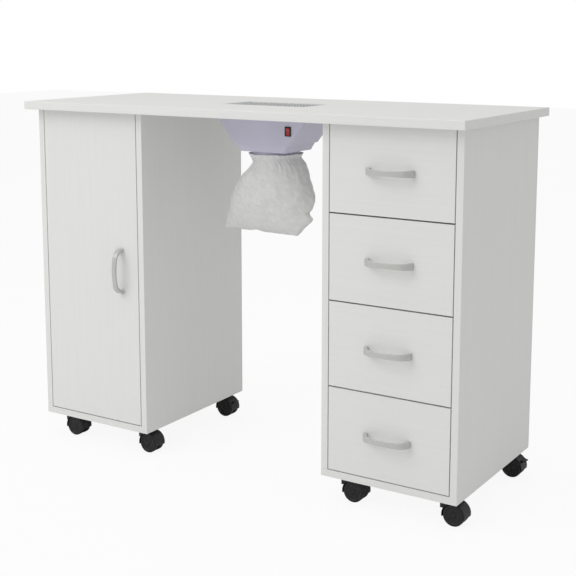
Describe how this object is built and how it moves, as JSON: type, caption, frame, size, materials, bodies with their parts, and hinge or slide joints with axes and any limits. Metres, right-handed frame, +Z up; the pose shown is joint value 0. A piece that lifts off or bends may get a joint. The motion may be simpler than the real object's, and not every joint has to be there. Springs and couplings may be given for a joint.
{
  "type": "manicure table",
  "caption": "White manicure table on casters: a worktop across a door cabinet and a drawer cabinet, with a dust collector and its cloth bag hanging under a grille.",
  "frame": {"origin": "on the floor, under the middle of the worktop", "axes": "+X along the worktop towards the drawer cabinet, -Y out of the front with the door and drawers, +Z up"},
  "size_m": [1.1, 0.44, 0.805],
  "materials": {
    "white_board": "white melamine-faced board with a faint grain, satin",
    "back_board": "white hardboard, matt",
    "drawer_board": "white foil-wrapped board, satin",
    "satin_handle": "satin silver-grey lacquer",
    "nickel_steel": "nickel plate",
    "runner_steel": "white epoxy powder coat",
    "zinc_steel": "zinc plate",
    "lavender_plastic": "moulded, semi-gloss",
    "white_plastic": "moulded, semi-gloss",
    "grille_metal": "silver-grey enamel",
    "motor_steel": "zinc plate",
    "fan_plastic": "moulded, matt",
    "switch_black": "moulded, semi-gloss",
    "rocker_red": "translucent red, glossy",
    "bag_fabric": "white non-woven polypropylene",
    "caster_plastic": "black nylon, satin",
    "wheel_plastic": "black nylon, satin"
  },
  "bodies": {
    "table": {"tabletop": "white_board", "left_outer_side": "white_board", "left_inner_side": "white_board", "right_inner_side": "white_board", "right_outer_side": "white_board", "cabinet_bottoms": "white_board", "back_panels": "back_board", "top_rails": "white_board", "shelf": "white_board", "hinge_arms": "nickel_steel", "cabinet_runners": "runner_steel", "caster_plates": "zinc_steel", "screws_and_pins": "zinc_steel", "collector_casing": "lavender_plastic", "grille_frame": "white_plastic", "motor": "motor_steel", "switch_body": "switch_black", "dust_bag": "bag_fabric"},
    "door": {"door": "white_board", "door_handle": "satin_handle", "hinge_cups": "nickel_steel"},
    "drawer_1": {"drawer_1_front": "white_board", "drawer_1_box": "drawer_board", "drawer_1_handle": "satin_handle", "drawer_1_slides": "runner_steel"},
    "drawer_2": {"drawer_2_front": "white_board", "drawer_2_box": "drawer_board", "drawer_2_handle": "satin_handle", "drawer_2_slides": "runner_steel"},
    "drawer_3": {"drawer_3_front": "white_board", "drawer_3_box": "drawer_board", "drawer_3_handle": "satin_handle", "drawer_3_slides": "runner_steel"},
    "drawer_4": {"drawer_4_front": "white_board", "drawer_4_box": "drawer_board", "drawer_4_handle": "satin_handle", "drawer_4_slides": "runner_steel"},
    "caster_1": {"caster_1_hood": "caster_plastic"},
    "caster_1_wheels": {"caster_1_wheels": "wheel_plastic"},
    "caster_2": {"caster_2_hood": "caster_plastic"},
    "caster_2_wheels": {"caster_2_wheels": "wheel_plastic"},
    "caster_3": {"caster_3_hood": "caster_plastic"},
    "caster_3_wheels": {"caster_3_wheels": "wheel_plastic"},
    "caster_3_brake": {"caster_3_brake": "caster_plastic"},
    "caster_4": {"caster_4_hood": "caster_plastic"},
    "caster_4_wheels": {"caster_4_wheels": "wheel_plastic"},
    "caster_4_brake": {"caster_4_brake": "caster_plastic"},
    "caster_5": {"caster_5_hood": "caster_plastic"},
    "caster_5_wheels": {"caster_5_wheels": "wheel_plastic"},
    "caster_6": {"caster_6_hood": "caster_plastic"},
    "caster_6_wheels": {"caster_6_wheels": "wheel_plastic"},
    "caster_7": {"caster_7_hood": "caster_plastic"},
    "caster_7_wheels": {"caster_7_wheels": "wheel_plastic"},
    "caster_7_brake": {"caster_7_brake": "caster_plastic"},
    "caster_8": {"caster_8_hood": "caster_plastic"},
    "caster_8_wheels": {"caster_8_wheels": "wheel_plastic"},
    "caster_8_brake": {"caster_8_brake": "caster_plastic"},
    "grille": {"grille": "grille_metal"},
    "impeller": {"impeller": "fan_plastic"},
    "rocker": {"rocker": "rocker_red"}
  },
  "joints": [
    {"name": "door_hinge", "type": "hinge", "parent": "table", "child": "door", "pos_m": [-0.519, -0.188, 0.4285], "axis": [0, 0, -1], "range_deg": [0, 105]},
    {"name": "drawer_1_slide", "type": "slide", "parent": "table", "child": "drawer_1", "axis": [0, -1, 0], "range_m": [0, 0.28]},
    {"name": "drawer_2_slide", "type": "slide", "parent": "table", "child": "drawer_2", "axis": [0, -1, 0], "range_m": [0, 0.28]},
    {"name": "drawer_3_slide", "type": "slide", "parent": "table", "child": "drawer_3", "axis": [0, -1, 0], "range_m": [0, 0.28]},
    {"name": "drawer_4_slide", "type": "slide", "parent": "table", "child": "drawer_4", "axis": [0, -1, 0], "range_m": [0, 0.28]},
    {"name": "caster_1_swivel", "type": "hinge", "parent": "table", "child": "caster_1", "pos_m": [-0.496, -0.148, 0.045], "axis": [0, 0, 1], "continuous": true},
    {"name": "caster_1_roll", "type": "hinge", "parent": "caster_1", "child": "caster_1_wheels", "pos_m": [-0.474, -0.148, 0.0225], "axis": [0, 1, 0], "continuous": true},
    {"name": "caster_2_swivel", "type": "hinge", "parent": "table", "child": "caster_2", "pos_m": [-0.271, -0.148, 0.045], "axis": [0, 0, 1], "continuous": true},
    {"name": "caster_2_roll", "type": "hinge", "parent": "caster_2", "child": "caster_2_wheels", "pos_m": [-0.249, -0.148, 0.0225], "axis": [0, 1, 0], "continuous": true},
    {"name": "caster_3_swivel", "type": "hinge", "parent": "table", "child": "caster_3", "pos_m": [-0.496, 0.157, 0.045], "axis": [0, 0, 1], "continuous": true},
    {"name": "caster_3_roll", "type": "hinge", "parent": "caster_3", "child": "caster_3_wheels", "pos_m": [-0.474, 0.157, 0.0225], "axis": [0, 1, 0], "continuous": true},
    {"name": "caster_3_brake_press", "type": "hinge", "parent": "caster_3", "child": "caster_3_brake", "pos_m": [-0.45139, 0.157, 0.03833], "axis": [0, 1, 0], "range_deg": [0, 18]},
    {"name": "caster_4_swivel", "type": "hinge", "parent": "table", "child": "caster_4", "pos_m": [-0.271, 0.157, 0.045], "axis": [0, 0, 1], "continuous": true},
    {"name": "caster_4_roll", "type": "hinge", "parent": "caster_4", "child": "caster_4_wheels", "pos_m": [-0.249, 0.157, 0.0225], "axis": [0, 1, 0], "continuous": true},
    {"name": "caster_4_brake_press", "type": "hinge", "parent": "caster_4", "child": "caster_4_brake", "pos_m": [-0.22639, 0.157, 0.03833], "axis": [0, 1, 0], "range_deg": [0, 18]},
    {"name": "caster_5_swivel", "type": "hinge", "parent": "table", "child": "caster_5", "pos_m": [0.271, -0.148, 0.045], "axis": [0, 0, 1], "continuous": true},
    {"name": "caster_5_roll", "type": "hinge", "parent": "caster_5", "child": "caster_5_wheels", "pos_m": [0.293, -0.148, 0.0225], "axis": [0, 1, 0], "continuous": true},
    {"name": "caster_6_swivel", "type": "hinge", "parent": "table", "child": "caster_6", "pos_m": [0.496, -0.148, 0.045], "axis": [0, 0, 1], "continuous": true},
    {"name": "caster_6_roll", "type": "hinge", "parent": "caster_6", "child": "caster_6_wheels", "pos_m": [0.518, -0.148, 0.0225], "axis": [0, 1, 0], "continuous": true},
    {"name": "caster_7_swivel", "type": "hinge", "parent": "table", "child": "caster_7", "pos_m": [0.271, 0.157, 0.045], "axis": [0, 0, 1], "continuous": true},
    {"name": "caster_7_roll", "type": "hinge", "parent": "caster_7", "child": "caster_7_wheels", "pos_m": [0.293, 0.157, 0.0225], "axis": [0, 1, 0], "continuous": true},
    {"name": "caster_7_brake_press", "type": "hinge", "parent": "caster_7", "child": "caster_7_brake", "pos_m": [0.31561, 0.157, 0.03833], "axis": [0, 1, 0], "range_deg": [0, 18]},
    {"name": "caster_8_swivel", "type": "hinge", "parent": "table", "child": "caster_8", "pos_m": [0.496, 0.157, 0.045], "axis": [0, 0, 1], "continuous": true},
    {"name": "caster_8_roll", "type": "hinge", "parent": "caster_8", "child": "caster_8_wheels", "pos_m": [0.518, 0.157, 0.0225], "axis": [0, 1, 0], "continuous": true},
    {"name": "caster_8_brake_press", "type": "hinge", "parent": "caster_8", "child": "caster_8_brake", "pos_m": [0.54061, 0.157, 0.03833], "axis": [0, 1, 0], "range_deg": [0, 18]},
    {"name": "grille_lift", "type": "slide", "parent": "table", "child": "grille", "axis": [0, 0, 1], "range_m": [0, 0.03]},
    {"name": "fan_spin", "type": "hinge", "parent": "table", "child": "impeller", "pos_m": [0, 0, 0.7], "axis": [0, 0, 1], "continuous": true},
    {"name": "rocker_press", "type": "hinge", "parent": "table", "child": "rocker", "pos_m": [0.072, -0.062, 0.752], "axis": [-1, 0, 0], "range_deg": [0, 16]}
  ]
}
